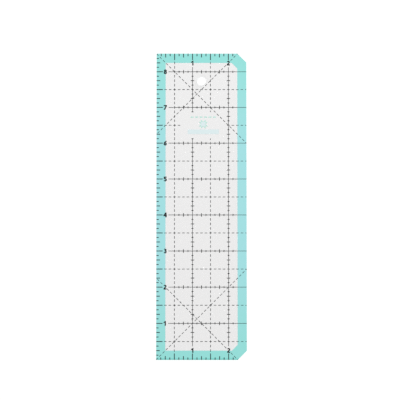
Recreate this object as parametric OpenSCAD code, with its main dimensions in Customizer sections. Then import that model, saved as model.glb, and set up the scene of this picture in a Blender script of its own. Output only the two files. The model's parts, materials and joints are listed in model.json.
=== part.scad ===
// Quilting ruler: a clear acrylic blank with a quarter-inch grid printed on its underside.
// The ruler lies flat, face up: +X runs across it, +Y along it from the zero end to the hang
// hole, +Z up. The origin is the middle of the surface that it lies on. Lengths are in
// millimetres unless a name ends in _in, which is inches.

/* [Blank] */
// Width of the ruler, in inches
ruler_width_in = 2.5; // [2.5:0.5:4.5]
// Length of the ruler, in inches
ruler_length_in = 8.5; // [7.5:0.5:9.5]
// Thickness of the acrylic sheet
blank_t = 3; // [2:0.5:5]
// Leg of the two clipped corners on the right
corner_clip = 6.35; // [3:0.05:7]

/* [Hang hole] */
// Diameter of the hang hole
hole_d = 6.35; // [5:0.05:7]
// Distance from the left edge to the middle of the hang hole, in inches
hole_x_in = 1.25; // [1.2:0.01:1.3]
// Distance from the top end to the middle of the hang hole, in inches
hole_drop_in = 0.77; // [0.72:0.01:0.8]

/* [Border band] */
// Width of the coloured band along every edge
band_w = 6.35; // [5:0.05:7]
// Leg of the clear window's corners behind the clipped corners
window_clip = 4; // [2:0.5:6]

/* [Markings] */
// Width of the solid inch lines
solid_w = 0.35; // [0.2:0.05:0.5]
// Width of the dashed lines
dashed_w = 0.4; // [0.2:0.05:0.5]
// Length of one dash
dash_l = 1.8; // [1.2:0.1:2.4]
// Width of the edge ticks
edge_tick_w = 0.6; // [0.4:0.05:0.7]
// Length of the edge ticks at odd eighths of an inch
short_tick = 1.6; // [1:0.1:2]
// Length of the edge ticks at odd quarters of an inch
middle_tick = 2.5; // [2:0.1:3]
// Length of the edge ticks at halves and whole inches
long_tick = 4.4; // [3.5:0.1:4.5]
// Width of the cross ticks on the inch lines
cross_tick_w = 0.5; // [0.3:0.05:0.6]
// Length of the cross ticks at odd eighths of an inch
short_cross = 1.4; // [1:0.1:2]
// Length of the cross ticks at odd quarters of an inch
long_cross = 2.4; // [2:0.1:3]

/* [Numerals] */
// Height of the numerals
numeral_h = 3.4; // [3.2:0.1:3.6]
// Width of the strokes of the numerals
stroke = 0.85; // [0.5:0.05:0.85]
// Distance from the left edge to the middle of its numerals
side_numeral_inset = 6.1; // [6:0.1:7]
// Distance from each end to the middle of its numerals
end_numeral_inset = 6.5; // [6.3:0.1:7.5]
// Gap between a numeral and the line that it counts
numeral_gap = 1.2; // [0.8:0.1:1.5]

/* [Label] */
// Distance from the left edge to the middle of the label, in inches
label_x_in = 1.3; // [1.25:0.01:1.35]
// Distance from the top end to the middle of the label, in inches
label_drop_in = 2; // [1.95:0.01:2.05]
// Side of the patchwork star
star_side = 6.4; // [5:0.2:6.6]

/* [Ink] */
// Thickness of one pass of ink
ink_t = 0.03; // [0.02:0.01:0.1]

/* [Hidden] */
$fn = 96;
inch = 25.4;
eighth = inch / 8;
ruler_w = ruler_width_in * inch;
ruler_l = ruler_length_in * inch;
inch_columns = ceil(ruler_width_in) - 1;
inch_rows = ceil(ruler_length_in) - 1;
hole_at = [hole_x_in * inch, ruler_l - hole_drop_in * inch];
label_at = [label_x_in * inch, ruler_l - label_drop_in * inch];

// Two passes of ink lie under the blank: the markings against the acrylic, and the band's backing below
print_t = 2 * ink_t;

// Numerals: two stacked rings fill the height and share one stroke
upper_r = 0.3 * numeral_h;
lower_r = (numeral_h + stroke) / 2 - upper_r;
upper_y = numeral_h / 2 - upper_r;
lower_y = lower_r - numeral_h / 2;

// Lines start clear of the numerals that count them
across_start = side_numeral_inset + lower_r + numeral_gap;
along_start = end_numeral_inset + numeral_h / 2 + numeral_gap;

// Cross ticks run from the first half inch to these eighths, counted from the zero corner
first_cross = 4;
last_cross_across = floor(ruler_w / eighth) - 3;
last_cross_along = floor(ruler_l / eighth) - 4;

// Bare acrylic left round the hang hole
hole_margin = 0.5;

// Label: a patchwork star over a bar, with a row of stitches above it, inside a gap in the grid
label_gap = [32, 18.6];
label_art = [22, 12.4];
star_y = 0.8;
bar_size = [22, 3.2];
bar_y = (bar_size[1] - label_art[1]) / 2;
stitch_count = 6;
stitch_size = [2, 0.8];
stitch_y = (label_art[1] - stitch_size[1]) / 2;

mint = [0.57, 0.87, 0.84];
black = [0.1, 0.11, 0.12];
pale_mint = [0.72, 0.9, 0.86];
pale_blue = [0.84, 0.91, 0.94];
clear = [0.9, 0.93, 0.93, 0.4];

LINES = [
    "inch_lines_across", "inch_lines_along", "half_inch_lines_across", "half_inch_lines_along",
    "angle_lines_top", "angle_lines_bottom"
];
TICKS = ["left_edge_ticks", "top_edge_ticks", "bottom_edge_ticks"];
BANDS = ["border_left", "border_right", "border_top", "border_bottom"];
LABEL = ["label_star_points", "label_star_centre", "label_bar", "label_stitches"];

// ---- Placing ----

// Outlines are drawn from the corner where both scales read zero
module from_zero_corner() {
    translate([-ruler_w / 2, -ruler_l / 2])
        children();
}

// One pass of ink, counted from the surface that the ruler lies on
module ink_pass(pass) {
    translate([0, 0, pass * ink_t])
        linear_extrude(ink_t)
            from_zero_corner()
                children();
}

// The markings are the pass against the acrylic
module marking_ink() {
    ink_pass(1)
        children();
}

// ---- Outlines of the blank and the band ----

// A rectangle with its two right corners cut off at 45 degrees
module clipped_rectangle(size, clip) {
    polygon([
        [0, 0],
        [size[0] - clip, 0],
        [size[0], clip],
        [size[0], size[1] - clip],
        [size[0] - clip, size[1]],
        [0, size[1]]
    ]);
}

module blank_outline() {
    clipped_rectangle([ruler_w, ruler_l], corner_clip);
}

module band_outline() {
    difference() {
        blank_outline();
        translate([band_w, band_w])
            clipped_rectangle([ruler_w - 2 * band_w, ruler_l - 2 * band_w], window_clip);
    }
}

// The share of the band along one edge, between 45 degree mitres at the corners
module band_share(edge) {
    reach = band_w + window_clip;
    zero_end = [[0, 0], [ruler_w, 0], [ruler_w - reach, reach], [reach, reach]];
    left = [[0, 0], [reach, reach], [reach, ruler_l - reach], [0, ruler_l]];
    intersection() {
        band_outline();
        if (edge == "bottom") polygon(zero_end);
        if (edge == "left") polygon(left);
        if (edge == "top") translate([0, ruler_l]) mirror([0, 1]) polygon(zero_end);
        if (edge == "right") translate([ruler_w, 0]) mirror([1, 0]) polygon(left);
    }
}

// ---- Outlines of the lines and ticks ----

function edge_tick(k) = k % 4 == 0 ? long_tick : k % 2 == 0 ? middle_tick : short_tick;

// Ticks at every eighth along +X, standing on the edge towards +Y
module edge_tick_row(length) {
    for (k = [1 : ceil(length / eighth) - 1])
        translate([k * eighth - edge_tick_w / 2, 0])
            square([edge_tick_w, edge_tick(k)]);
}

// Cross ticks at every eighth along +X, apart from the halves, where another line crosses
module cross_tick_row(last) {
    for (k = [first_cross + 1 : last])
        if (k % 4 != 0)
            translate([k * eighth, 0])
                square([cross_tick_w, k % 2 == 0 ? long_cross : short_cross], center = true);
}

// Dashes along +X, a whole number of eighths apart, each centred on its eighth
module dash_row(first, last) {
    for (k = [first : last])
        translate([k * eighth, 0])
            square([dash_l, dashed_w], center = true);
}

// Turns an outline drawn along +X to run along +Y
module along() {
    mirror([1, -1])
        children();
}

// The space round the hang hole, which every line keeps out of
module hole_surround() {
    translate(hole_at)
        circle(d = hole_d + 2 * hole_margin);
}

// The part of the grid that gives way to the label and the hang hole
module grid_gaps() {
    translate(label_at)
        square(label_gap, center = true);
    hole_surround();
}

module left_ticks() {
    along()
        edge_tick_row(ruler_l);
}

module bottom_ticks() {
    edge_tick_row(ruler_w - corner_clip);
}

module top_ticks() {
    translate([0, ruler_l])
        mirror([0, 1])
            bottom_ticks();
}

module inch_grid_across() {
    difference() {
        for (row = [1 : inch_rows])
            translate([0, row * inch]) {
                translate([across_start, -solid_w / 2])
                    square([ruler_w - across_start, solid_w]);
                cross_tick_row(last_cross_across);
            }
        grid_gaps();
    }
}

module inch_grid_along() {
    difference() {
        for (column = [1 : inch_columns])
            translate([column * inch, 0]) {
                translate([-solid_w / 2, along_start])
                    square([solid_w, ruler_l - 2 * along_start]);
                along()
                    cross_tick_row(last_cross_along);
            }
        grid_gaps();
    }
}

// Half-inch lines start over the band's inner edge, and those across run on to the right edge
module half_inch_grid_across() {
    difference() {
        intersection() {
            for (y = [inch / 2 : inch : ruler_l - inch / 2])
                translate([0, y])
                    dash_row(2, floor(ruler_w / eighth));
            blank_outline();
        }
        grid_gaps();
    }
}

module half_inch_grid_along() {
    difference() {
        for (x = [inch / 2 : inch : ruler_w - inch / 2])
            translate([x, 0])
                along()
                    dash_row(2, floor(ruler_l / eighth) - 2);
        grid_gaps();
    }
}

// A dashed line at 45 degrees, from the zero corner towards +X and +Y. Its first dash is centred
// at the start.
module angle_line(width, start) {
    rotate(45)
        translate([start, 0])
            dash_row(0, ceil(width * sqrt(2) / eighth));
}

// The two crossing lines of the zero end. The one from the square corner starts with a whole
// dash. The other starts a band's width short of the clipped corner, part of the way through one.
module angle_pair() {
    other_w = ruler_w - band_w;
    angle_line(ruler_w, dash_l / 2);
    translate([other_w, 0])
        mirror([1, 0])
            angle_line(other_w, -dash_l / 4);
}

// The heavier markings, which the angle lines give way to
module heavier_markings() {
    left_ticks();
    top_ticks();
    bottom_ticks();
    inch_grid_across();
    inch_grid_along();
    half_inch_grid_across();
    half_inch_grid_along();
    all_numerals();
}

module clear_angle_lines() {
    difference() {
        intersection() {
            children();
            blank_outline();
        }
        heavier_markings();
        numeral_fields();
        hole_surround();
        translate(label_at)
            square(label_art, center = true);
    }
}

module bottom_angle_lines() {
    clear_angle_lines()
        angle_pair();
}

module top_angle_lines() {
    clear_angle_lines()
        translate([0, ruler_l])
            mirror([0, 1])
                angle_pair();
}

// ---- Outlines of the numerals, each centred on its own middle ----

module ring(r) {
    difference() {
        circle(r);
        circle(r - stroke);
    }
}

// The part of a ring between two angles
module arc(r, from, to) {
    steps = ceil((to - from) / 60);
    intersection() {
        ring(r);
        polygon(concat(
            [[0, 0]],
            [for (i = [0 : steps]) let (a = from + (to - from) * i / steps) 2 * r * [cos(a), sin(a)]]
        ));
    }
}

module numeral_one() {
    stem_x = 0.07 * numeral_h;
    flag = 0.24 * numeral_h;
    polygon([
        [stem_x - stroke / 2, -numeral_h / 2],
        [stem_x + stroke / 2, -numeral_h / 2],
        [stem_x + stroke / 2, numeral_h / 2],
        [stem_x, numeral_h / 2],
        [stem_x - stroke / 2 - flag, numeral_h / 2 - flag],
        [stem_x - stroke / 2 - flag, numeral_h / 2 - flag - stroke],
        [stem_x - stroke / 2, numeral_h / 2 - 1.3 * stroke]
    ]);
}

module numeral_two() {
    r = 0.31 * numeral_h;
    bend = 42;
    middle_y = numeral_h / 2 - r;
    foot_y = stroke - numeral_h / 2;
    // Where the tail's two edges leave the bowl at its bend, and where they reach the foot
    leave = [for (radius = [r, r - stroke]) [radius * cos(bend), middle_y - radius * sin(bend)]];
    land = [for (p = leave) [p[0] - (p[1] - foot_y) * tan(bend), foot_y]];
    // The bowl reaches a little way into the tail
    translate([0, middle_y])
        arc(r, -bend - 6, 165);
    polygon([leave[0], leave[1], land[1], land[0]]);
    translate([-r, -numeral_h / 2])
        square([2 * r, stroke]);
}

module numeral_three() {
    translate([0, upper_y])
        arc(upper_r, -90, 155);
    translate([0, lower_y])
        arc(lower_r, -155, 90);
    translate([-stroke / 2, lower_y + lower_r - stroke])
        square([stroke / 2, stroke]);
}

module numeral_four() {
    left = -0.35 * numeral_h;
    stem_x = 0.05 * numeral_h;
    bar_y = -0.27 * numeral_h;
    slope = (numeral_h / 2 - bar_y - stroke) / (stem_x - left);
    counter_x = left + stroke * sqrt(1 + pow(slope, -2));
    difference() {
        polygon([
            [left, bar_y],
            [stem_x + stroke, bar_y],
            [stem_x + stroke, numeral_h / 2],
            [stem_x, numeral_h / 2],
            [left, bar_y + stroke]
        ]);
        polygon([
            [counter_x, bar_y + stroke],
            [stem_x, bar_y + stroke],
            [stem_x, bar_y + stroke + (stem_x - counter_x) * slope]
        ]);
    }
    translate([stem_x, -numeral_h / 2])
        square([stroke, numeral_h / 2]);
    translate([stem_x, bar_y])
        square([-left - stem_x, stroke]);
}

module numeral_five() {
    r = 0.34 * numeral_h;
    stem_x = -0.29 * numeral_h;
    translate([0, r - numeral_h / 2])
        arc(r, -155, 135);
    translate([stem_x, 0])
        square([stroke, numeral_h / 2]);
    translate([stem_x, numeral_h / 2 - stroke])
        square([-2 * stem_x, stroke]);
}

// The neck is an arc that leaves the bowl at its left side and ends at the full height
module numeral_six() {
    neck_r = numeral_h - lower_r;
    translate([0, lower_y])
        ring(lower_r);
    translate([neck_r - lower_r, lower_y])
        arc(neck_r, 97, 180);
}

module numeral_seven() {
    half_w = 0.33 * numeral_h;
    polygon([
        [-half_w, numeral_h / 2 - stroke],
        [half_w - 1.15 * stroke, numeral_h / 2 - stroke],
        [-1.4 * stroke, -numeral_h / 2],
        [-0.2 * stroke, -numeral_h / 2],
        [half_w, numeral_h / 2 - stroke],
        [half_w, numeral_h / 2],
        [-half_w, numeral_h / 2]
    ]);
}

module numeral_eight() {
    translate([0, upper_y])
        ring(upper_r);
    translate([0, lower_y])
        ring(lower_r);
}

module numeral(n) {
    if (n == 1) numeral_one();
    if (n == 2) numeral_two();
    if (n == 3) numeral_three();
    if (n == 4) numeral_four();
    if (n == 5) numeral_five();
    if (n == 6) numeral_six();
    if (n == 7) numeral_seven();
    if (n == 8) numeral_eight();
    if (n == 9) rotate(180) numeral_six();
}

function side_numeral_at(n) = [side_numeral_inset, n * inch];
function top_numeral_at(n) = [n * inch, ruler_l - end_numeral_inset];
function bottom_numeral_at(n) = [n * inch, end_numeral_inset];

module all_numerals() {
    for (n = [1 : inch_rows])
        translate(side_numeral_at(n))
            numeral(n);
    for (n = [1 : inch_columns], at = [top_numeral_at(n), bottom_numeral_at(n)])
        translate(at)
            numeral(n);
}

// The space that the numerals stand in, which the angle lines keep out of
module numeral_fields() {
    side = [for (n = [1 : inch_rows]) side_numeral_at(n)];
    ends = [for (n = [1 : inch_columns]) each [top_numeral_at(n), bottom_numeral_at(n)]];
    for (at = concat(side, ends))
        translate(at)
            square([2 * lower_r, numeral_h], center = true);
}

// ---- The blank and the band ----

module acrylic_blank() {
    color(clear)
        translate([0, 0, print_t])
            linear_extrude(blank_t)
                from_zero_corner()
                    difference() {
                        blank_outline();
                        translate(hole_at)
                            circle(d = hole_d);
                    }
}

// The band backs the markings that it covers, and fills the space between them
module border_band(edge) {
    color(mint) {
        ink_pass(0)
            band_share(edge);
        ink_pass(1)
            difference() {
                band_share(edge);
                heavier_markings();
                bottom_angle_lines();
                top_angle_lines();
            }
    }
}

// ---- The black markings ----

module inch_lines_across() {
    color(black)
        marking_ink()
            inch_grid_across();
}

module inch_lines_along() {
    color(black)
        marking_ink()
            difference() {
                inch_grid_along();
                inch_grid_across();
            }
}

module half_inch_lines_across() {
    color(black)
        marking_ink()
            difference() {
                half_inch_grid_across();
                inch_grid_along();
            }
}

module half_inch_lines_along() {
    color(black)
        marking_ink()
            difference() {
                half_inch_grid_along();
                inch_grid_across();
                half_inch_grid_across();
            }
}

module angle_lines_top() {
    color(black)
        marking_ink()
            top_angle_lines();
}

module angle_lines_bottom() {
    color(black)
        marking_ink()
            bottom_angle_lines();
}

module left_edge_ticks() {
    color(black)
        marking_ink()
            left_ticks();
}

module top_edge_ticks() {
    color(black)
        marking_ink()
            top_ticks();
}

module bottom_edge_ticks() {
    color(black)
        marking_ink()
            bottom_ticks();
}

module side_numeral(n) {
    color(black)
        marking_ink()
            translate(side_numeral_at(n))
                numeral(n);
}

module top_numeral(n) {
    color(black)
        marking_ink()
            translate(top_numeral_at(n))
                numeral(n);
}

module bottom_numeral(n) {
    color(black)
        marking_ink()
            translate(bottom_numeral_at(n))
                numeral(n);
}

// ---- The label ----

// Eight right-angled patches around the star's centre square
module label_star_points() {
    patch = star_side / 4;
    color(pale_mint)
        marking_ink()
            translate(label_at + [0, star_y])
                for (turn = [0 : 90 : 270])
                    rotate(turn)
                        for (side = [0, 1])
                            mirror([side, 0])
                                polygon([[0, patch], [patch, patch], [patch, 2 * patch]]);
}

module label_star_centre() {
    color(pale_blue)
        marking_ink()
            translate(label_at + [0, star_y])
                square(star_side / 2, center = true);
}

module label_bar() {
    color(pale_blue)
        marking_ink()
            translate(label_at + [0, bar_y])
                square(bar_size, center = true);
}

module label_stitches() {
    color(pale_mint)
        marking_ink()
            translate(label_at + [0, stitch_y])
                for (i = [0 : stitch_count - 1])
                    translate([(i - (stitch_count - 1) / 2) * eighth, 0])
                        square(stitch_size, center = true);
}

acrylic_blank();
border_band("left");  // border_left
border_band("right");  // border_right
border_band("top");  // border_top
border_band("bottom");  // border_bottom
inch_lines_across();
inch_lines_along();
half_inch_lines_across();
half_inch_lines_along();
angle_lines_top();
angle_lines_bottom();
left_edge_ticks();
top_edge_ticks();
bottom_edge_ticks();
for (n = [1 : inch_rows])
    side_numeral(n);
for (n = [1 : inch_columns])
    top_numeral(n);
for (n = [1 : inch_columns])
    bottom_numeral(n);
label_star_points();
label_star_centre();
label_bar();
label_stitches();
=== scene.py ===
"""A clear acrylic quilting ruler, printed on its underside, lying face up on a plain pale floor."""

import json
import math

import bmesh
import bpy
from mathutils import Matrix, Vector


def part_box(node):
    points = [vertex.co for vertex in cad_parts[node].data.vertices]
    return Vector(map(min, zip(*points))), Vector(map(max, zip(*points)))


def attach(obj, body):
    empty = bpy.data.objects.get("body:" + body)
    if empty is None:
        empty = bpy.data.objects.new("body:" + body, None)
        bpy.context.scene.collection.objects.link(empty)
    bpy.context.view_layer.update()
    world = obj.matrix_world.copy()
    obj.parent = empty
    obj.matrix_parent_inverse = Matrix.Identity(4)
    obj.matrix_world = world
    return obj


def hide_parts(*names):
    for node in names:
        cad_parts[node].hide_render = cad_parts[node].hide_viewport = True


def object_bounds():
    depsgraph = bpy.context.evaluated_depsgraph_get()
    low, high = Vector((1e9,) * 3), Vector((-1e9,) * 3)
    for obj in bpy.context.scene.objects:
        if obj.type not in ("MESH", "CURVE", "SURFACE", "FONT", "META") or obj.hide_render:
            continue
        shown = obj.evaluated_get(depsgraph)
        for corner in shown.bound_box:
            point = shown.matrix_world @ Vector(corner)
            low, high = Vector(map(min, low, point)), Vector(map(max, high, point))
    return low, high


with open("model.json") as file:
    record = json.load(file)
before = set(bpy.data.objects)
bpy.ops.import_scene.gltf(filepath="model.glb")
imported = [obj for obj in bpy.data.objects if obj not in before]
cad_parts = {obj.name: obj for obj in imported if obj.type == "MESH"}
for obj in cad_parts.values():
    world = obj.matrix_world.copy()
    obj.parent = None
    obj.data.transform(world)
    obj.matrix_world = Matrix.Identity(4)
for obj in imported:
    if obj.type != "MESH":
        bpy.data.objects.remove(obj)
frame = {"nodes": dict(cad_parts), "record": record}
cad_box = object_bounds()
MM = 0.001

# The sheet of acrylic
EDGE_ROUND = 0.18 * MM  # radius that polishing leaves on every edge
EDGE_STEPS = 4  # facets round each polished edge
HOLE_STEPS = 96  # points round the hole
INK_SUNK = 0.01 * MM  # the underside lies this far inside the ink, which is bonded to it
ACRYLIC_IOR = 1.49
UNBENT_IOR = 1.0  # light crosses such a face without a bend
DECIMALS = 6  # of a metre, by which the corners of the CAD blank are told apart
LARGE_FACES_ONLY = 100  # the weight at which the flat faces decide the shading at their rims

# Each ink's colours, from the thinnest coat to the heaviest; the band's last colour is a painted
# shadow along the zero end
INK_COLOURS = {
    "band_ink": [(0.338, 0.68, 0.705), (0.27, 0.68, 0.635), (0.05, 0.47, 0.42)],
    "marking_ink": [(0.015, 0.016, 0.017), (0.009, 0.01, 0.011)],
    "label_mint_ink": [(0.46, 0.73, 0.65), (0.43, 0.71, 0.63)],
    "label_blue_ink": [(0.66, 0.765, 0.78), (0.64, 0.75, 0.765)],
}
# The band's colour grows deeper between these shares of the way from the middle to each end
RISE_START = 0.4
RISE_END = 0.97
PAINTED_SHADOW_WIDTH = 1.25 * MM  # how far in from the zero end the painted shadow reaches

# The camera looks almost straight down, and sees a square this wide where the print appears
VIEW_WIDTH = 282.2 * MM
AIM = Vector((-1.05 * MM, 4.2 * MM))  # the point of the ruler in the middle of the view
TILT = math.radians(3)  # it stands this far towards the zero end
# In millimetres, as Blender takes them
LENS = 120
SENSOR = 36

FLOOR_SIZE = 6.0
FLOOR_GAP = 0.02 * MM  # from the floor to the ink
SURROUND = 0.45  # how brightly the white room shines from all sides


# ---- Materials ----

# The sockets of a Mix node for colours, which share their names with its sockets for other types
MIX_FACTOR, MIX_A, MIX_B, MIX_RESULT = 0, 6, 7, 2


def new_material(name):
    """A material with an empty node tree and its output."""
    material = bpy.data.materials.new(name)
    material.use_nodes = True
    tree = material.node_tree
    tree.nodes.clear()
    output = tree.nodes.new("ShaderNodeOutputMaterial")
    return material, tree, output


def add_place(tree):
    """A point's place in the object's own metres, which is its place on the ruler."""
    return tree.nodes.new("ShaderNodeTexCoord").outputs["Object"]


def add_noise(tree, scale, detail, stretch=(1, 1, 1)):
    """Noise with scale cells to the metre, and more of them along an axis with a larger stretch."""
    mapping = tree.nodes.new("ShaderNodeMapping")
    mapping.inputs["Scale"].default_value = stretch
    noise = tree.nodes.new("ShaderNodeTexNoise")
    noise.inputs["Scale"].default_value = scale
    noise.inputs["Detail"].default_value = detail
    tree.links.new(add_place(tree), mapping.inputs["Vector"])
    tree.links.new(mapping.outputs["Vector"], noise.inputs["Vector"])
    return noise.outputs["Fac"]


def add_range(tree, value, low, high, start=0.3, end=0.7):
    """value, from start to end, spread over low to high. Most noise lies from 0.3 to 0.7."""
    node = tree.nodes.new("ShaderNodeMapRange")
    node.inputs["From Min"].default_value = start
    node.inputs["From Max"].default_value = end
    node.inputs["To Min"].default_value = low
    node.inputs["To Max"].default_value = high
    tree.links.new(value, node.inputs["Value"])
    return node.outputs["Result"]


def add_math(tree, operation, *values):
    node = tree.nodes.new("ShaderNodeMath")
    node.operation = operation
    for value, socket in zip(values, node.inputs):
        tree.links.new(value, socket)
    return node.outputs["Value"]


def add_bump(tree, height, distance, strength=1.0):
    node = tree.nodes.new("ShaderNodeBump")
    node.inputs["Distance"].default_value = distance
    node.inputs["Strength"].default_value = strength
    tree.links.new(height, node.inputs["Height"])
    return node.outputs["Normal"]


def acrylic(name, tint, shadow, roughness, bump=None, ior=ACRYLIC_IOR):
    """Clear acrylic, whose roughness and bump are functions that add their nodes to its tree.

    Rays from the lamps pass straight through it, dimmed to shadow.
    """
    material, tree, output = new_material(name)
    glass = tree.nodes.new("ShaderNodeBsdfPrincipled")
    glass.inputs["Base Color"].default_value = (*tint, 1)
    glass.inputs["Transmission Weight"].default_value = 1.0
    glass.inputs["IOR"].default_value = ior
    tree.links.new(roughness(tree), glass.inputs["Roughness"])
    if bump is not None:
        tree.links.new(bump(tree), glass.inputs["Normal"])
    clear = tree.nodes.new("ShaderNodeBsdfTransparent")
    clear.inputs["Color"].default_value = (*shadow, 1)
    path = tree.nodes.new("ShaderNodeLightPath")
    mix = tree.nodes.new("ShaderNodeMixShader")
    choice, for_other_rays, for_shadow_rays = mix.inputs
    tree.links.new(path.outputs["Is Shadow Ray"], choice)
    tree.links.new(glass.outputs["BSDF"], for_other_rays)
    tree.links.new(clear.outputs["BSDF"], for_shadow_rays)
    tree.links.new(mix.outputs["Shader"], output.inputs["Surface"])
    return material


def face_acrylic(name, ior):
    """The cast faces: glossy, with a trace of handling in the gloss."""

    def roughness(tree):
        handling = add_noise(tree, scale=90, detail=4)
        return add_range(tree, handling, low=0.0, high=0.03)

    tint = (0.882, 0.878, 0.878)
    shadow = (0.89, 0.89, 0.89)
    return acrylic(name, tint, shadow, roughness, ior=ior)


def edge_acrylic():
    """The cut edges: fine upright striations from the laser, and less light through."""

    def roughness(tree):
        streaks = add_noise(tree, scale=900, detail=2, stretch=(1, 1, 0.05))
        return add_range(tree, streaks, low=0.04, high=0.14)

    def bump(tree):
        striations = add_noise(tree, scale=1600, detail=2, stretch=(1, 1, 0.03))
        return add_bump(tree, striations, distance=0.02 * MM, strength=0.8)

    tint = (0.9, 0.95, 0.95)
    shadow = (0.85, 0.87, 0.87)
    return acrylic("acrylic_edge", tint, shadow, roughness, bump)


def hole_acrylic():
    """The wall of the drilled hole: fine rings from the drill, left matt."""

    def roughness(tree):
        streaks = add_noise(tree, scale=1500, detail=2, stretch=(0.2, 0.2, 1))
        return add_range(tree, streaks, low=0.2, high=0.35)

    def bump(tree):
        rings = add_noise(tree, scale=3000, detail=1, stretch=(0.03, 0.03, 1))
        return add_bump(tree, rings, distance=0.01 * MM, strength=0.8)

    tint = (0.86, 0.88, 0.89)
    shadow = (0.75, 0.76, 0.76)
    return acrylic("acrylic_hole", tint, shadow, roughness, bump)


def mottle(tree, most=1.0):
    """How heavily an even coat lies, from 0 to most, in the blotches that a screen leaves."""
    return add_range(tree, add_noise(tree, scale=350, detail=4), low=0.0, high=most)


def band_depth_with_painted_shadow(tree):
    """How deep the band's colour lies. It grows deeper towards both ends.

    It is up to 1, and up to 2 in a painted shadow along the zero end.
    """
    tip = cad_box[1].y
    split = tree.nodes.new("ShaderNodeSeparateXYZ")
    tree.links.new(add_place(tree), split.inputs["Vector"])
    along = split.outputs["Y"]
    from_middle = add_math(tree, "ABSOLUTE", along)
    rise = add_range(tree, from_middle, 0.0, 0.85, start=RISE_START * tip, end=RISE_END * tip)
    # Painted shadow: the band is darkest along the zero end
    painted_shadow = add_range(tree, along, 1.0, 0.0, start=-tip, end=PAINTED_SHADOW_WIDTH - tip)
    coat = add_math(tree, "ADD", rise, mottle(tree, most=0.15))
    return add_math(tree, "ADD", coat, painted_shadow)


def add_colour_steps(tree, colours, depth_of_colour):
    """The colour at a depth that counts along the colours: 0.5 is halfway between the first two."""
    color = None
    for index, (paler_colour, deeper_colour) in enumerate(zip(colours, colours[1:])):
        mix = tree.nodes.new("ShaderNodeMix")
        mix.data_type = "RGBA"
        if color is None:
            mix.inputs[MIX_A].default_value = (*paler_colour, 1)
        else:
            tree.links.new(color, mix.inputs[MIX_A])
        mix.inputs[MIX_B].default_value = (*deeper_colour, 1)
        share = add_range(tree, depth_of_colour, low=0.0, high=1.0, start=index, end=index + 1)
        tree.links.new(share, mix.inputs[MIX_FACTOR])
        color = mix.outputs[MIX_RESULT]
    return color


def ink(name, colours, depth_of_colour):
    """Printing ink with a fine grain. Its depth of colour comes from a function that adds its nodes
    to the tree.

    The ink is bonded to the acrylic, so it has no gloss of its own.
    """
    material, tree, output = new_material(name)
    coat = tree.nodes.new("ShaderNodeBsdfPrincipled")
    coat.inputs["Specular IOR Level"].default_value = 0
    tree.links.new(add_colour_steps(tree, colours, depth_of_colour(tree)), coat.inputs["Base Color"])
    grain = add_noise(tree, scale=6000, detail=2)
    tree.links.new(add_range(tree, grain, low=0.37, high=0.53), coat.inputs["Roughness"])
    tree.links.new(add_bump(tree, grain, distance=0.003 * MM), coat.inputs["Normal"])
    tree.links.new(coat.outputs["BSDF"], output.inputs["Surface"])
    return material


def floor_paint():
    material, tree, output = new_material("floor")
    paint = tree.nodes.new("ShaderNodeBsdfPrincipled")
    paint.inputs["Base Color"].default_value = (0.88, 0.88, 0.88, 1)
    paint.inputs["Roughness"].default_value = 0.9
    paint.inputs["Specular IOR Level"].default_value = 0.1
    tree.links.new(paint.outputs["BSDF"], output.inputs["Surface"])
    return material


def paint_cad_nodes():
    """Every printed CAD node gets the ink that its record slot names."""
    inks = {}
    for name, colours in INK_COLOURS.items():
        inks[name] = ink(name, colours, band_depth_with_painted_shadow if name == "band_ink" else mottle)
    for part in frame["record"]["subparts"]:
        if part["material_slot"] in inks:
            for slot in frame["nodes"][part["node"]].material_slots:
                slot.material = inks[part["material_slot"]]


# ---- The sheet of acrylic ----

TOP_SLOT, UNDERSIDE_SLOT, EDGE_SLOT, HOLE_SLOT = range(4)


def sheet_materials():
    """The sheet's materials, in the order of its slots.

    The underside doesn't bend light, so that none is trapped in the sheet and lost.
    """
    return [
        face_acrylic("acrylic_face", ACRYLIC_IOR),
        face_acrylic("acrylic_underside", UNBENT_IOR),
        edge_acrylic(),
        hole_acrylic(),
    ]


def mount(name):
    return next(m for m in frame["record"]["mounts"] if m["name"] == name)


def sheet_corners(hole_at, hole_r):
    """The corners of the CAD blank from above, anticlockwise, without those round its hole."""
    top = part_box("acrylic_blank")[1].z
    corners = {
        (round(v.co.x, DECIMALS), round(v.co.y, DECIMALS))
        for v in frame["nodes"]["acrylic_blank"].data.vertices
        if round(v.co.z - top, DECIMALS) == 0 and (v.co.xy - hole_at).length > 2 * hole_r
    }
    return [Vector(c) for c in sorted(corners, key=lambda c: math.atan2(c[1], c[0]))]


def inset(corners, by):
    """A convex anticlockwise outline with every side moved inwards."""
    moved = []
    for i, corner in enumerate(corners):
        before = (corner - corners[i - 1]).normalized()
        after = (corners[(i + 1) % len(corners)] - corner).normalized()
        inwards = (after - before).normalized()
        from_side = Vector((-before.y, before.x))
        moved.append(corner + inwards * (by / inwards.dot(from_side)))
    return moved


def circle(at, r):
    turns = [2 * math.pi * i / HOLE_STEPS for i in range(HOLE_STEPS)]
    return [at + Vector((math.cos(t), math.sin(t))) * r for t in turns]


def edge_profile(low, high):
    """Heights and insets up a wall whose two edges are rounded."""
    lower, upper = [], []
    for i in range(EDGE_STEPS + 1):
        turn = math.pi / 2 * i / EDGE_STEPS
        rise = EDGE_ROUND * (1 - math.cos(turn))
        back = EDGE_ROUND * (1 - math.sin(turn))
        lower.append((low + rise, back))
        upper.append((high - rise, back))
    return lower + upper[::-1]


def set_face(face, slot):
    face.material_index = slot
    face.smooth = True


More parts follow.
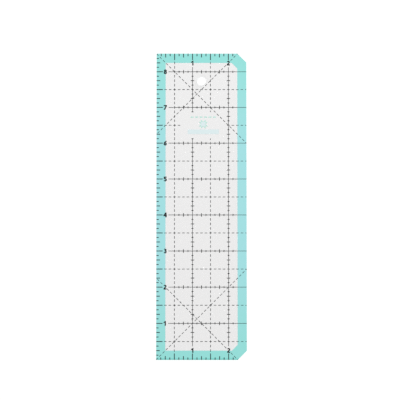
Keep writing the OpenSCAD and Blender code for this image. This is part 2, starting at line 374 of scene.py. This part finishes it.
def add_wall(bm, loops, slot, crisp):
    """Faces between stacked loops of points, which meet in crisp or in smooth upright edges.

    Returns the loops as vertices.
    """
    rings = [[bm.verts.new(p) for p in loop] for loop in loops]
    for lower, upper in zip(rings, rings[1:]):
        for i in range(len(lower)):
            j = (i + 1) % len(lower)
            set_face(bm.faces.new((lower[i], lower[j], upper[j], upper[i])), slot)
        for pair in zip(lower, upper):
            bm.edges.get(pair).smooth = not crisp
    return rings


def ring_edges(bm, ring):
    return [bm.edges.get((ring[i], ring[(i + 1) % len(ring)])) for i in range(len(ring))]


def add_face(bm, rims, slot):
    """The flat face between an outer rim and the rim of the hole."""
    edges = [edge for rim in rims for edge in ring_edges(bm, rim)]
    filled = bmesh.ops.triangle_fill(bm, edges=edges, use_beauty=True)
    for element in filled["geom"]:
        if isinstance(element, bmesh.types.BMFace):
            set_face(element, slot)


def sheet_mesh():
    """The blank again, with polished edges and a smooth hole, in contact with the ink under it."""
    low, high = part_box("acrylic_blank")
    hole = mount("hang_hole")
    hole_at = Vector(hole["pos_m"][:2])
    hole_r = hole["dims"]["r_mm"] * MM
    corners = sheet_corners(hole_at, hole_r)
    profile = edge_profile(low.z - INK_SUNK, high.z)
    outside = [[(*p, z) for p in inset(corners, back)] for z, back in profile]
    inside = [[(*p, z) for p in circle(hole_at, hole_r + back)] for z, back in profile]

    bm = bmesh.new()
    outer = add_wall(bm, outside, EDGE_SLOT, crisp=True)
    inner = add_wall(bm, inside, HOLE_SLOT, crisp=False)
    add_face(bm, (outer[0], inner[0]), UNDERSIDE_SLOT)
    add_face(bm, (outer[-1], inner[-1]), TOP_SLOT)
    bmesh.ops.recalc_face_normals(bm, faces=bm.faces)
    mesh = bpy.data.meshes.new("acrylic_sheet")
    bm.to_mesh(mesh)
    bm.free()
    for material in sheet_materials():
        mesh.materials.append(material)
    return mesh


def build_sheet():
    """The clear sheet, in place of the CAD blank."""
    sheet = bpy.data.objects.new("acrylic_sheet", sheet_mesh())
    bpy.context.collection.objects.link(sheet)
    normals = sheet.modifiers.new("flat_faces", "WEIGHTED_NORMAL")
    normals.weight = LARGE_FACES_ONLY
    normals.keep_sharp = True
    # Light scattered by the floor and the ink passes as if the sheet weren't there
    sheet.visible_diffuse = False
    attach(sheet, "root")
    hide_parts("acrylic_blank")


# ---- Stage ----


def build_floor():
    mesh = bpy.data.meshes.new("floor")
    half = FLOOR_SIZE / 2
    z = cad_box[0].z - FLOOR_GAP
    corners = [(-half, -half, z), (half, -half, z), (half, half, z), (-half, half, z)]
    mesh.from_pydata(corners, [], [(0, 1, 2, 3)])
    mesh.materials.append(floor_paint())
    floor = bpy.data.objects.new("floor", mesh)
    bpy.context.collection.objects.link(floor)


def add_softbox(name, at, size, power):
    """A square lamp that faces the ruler."""
    light = bpy.data.lights.new(name, "AREA")
    light.shape = "SQUARE"
    light.size = size
    light.energy = power
    lamp = bpy.data.objects.new(name, light)
    lamp.location = at
    lamp.rotation_euler = (-Vector(at)).to_track_quat("-Z", "Y").to_euler()
    bpy.context.collection.objects.link(lamp)


def light_scene():
    """A large lamp high up past the zero end and a nearer one past the hang hole, in a white room."""
    add_softbox("key", at=(-1.0, -1.1, 3.0), size=1.2, power=56)
    add_softbox("fill", at=(0.5, 0.8, 0.9), size=0.6, power=10.3)
    world = bpy.data.worlds.new("studio")
    bpy.context.scene.world = world
    world.use_nodes = True
    background = world.node_tree.nodes["Background"]
    background.inputs["Color"].default_value = (1, 1, 1, 1)
    background.inputs["Strength"].default_value = SURROUND


def add_camera():
    """A camera aimed at the print, which through the acrylic appears nearer than it is."""
    camera = bpy.data.cameras.new("camera")
    camera.sensor_width = SENSOR
    camera.lens = LENS
    low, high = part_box("acrylic_blank")
    print_seen_at = high.z - (high.z - low.z) / ACRYLIC_IOR
    aim = Vector((*AIM, print_seen_at))
    away = VIEW_WIDTH * LENS / SENSOR
    viewer = bpy.data.objects.new("camera", camera)
    viewer.location = aim + Vector((0, -math.sin(TILT), math.cos(TILT))) * away
    viewer.rotation_euler = (TILT, 0, 0)
    bpy.context.collection.objects.link(viewer)
    bpy.context.scene.camera = viewer
    bpy.context.scene.view_settings.view_transform = "Standard"


add_camera()
light_scene()
build_floor()
paint_cad_nodes()
build_sheet()
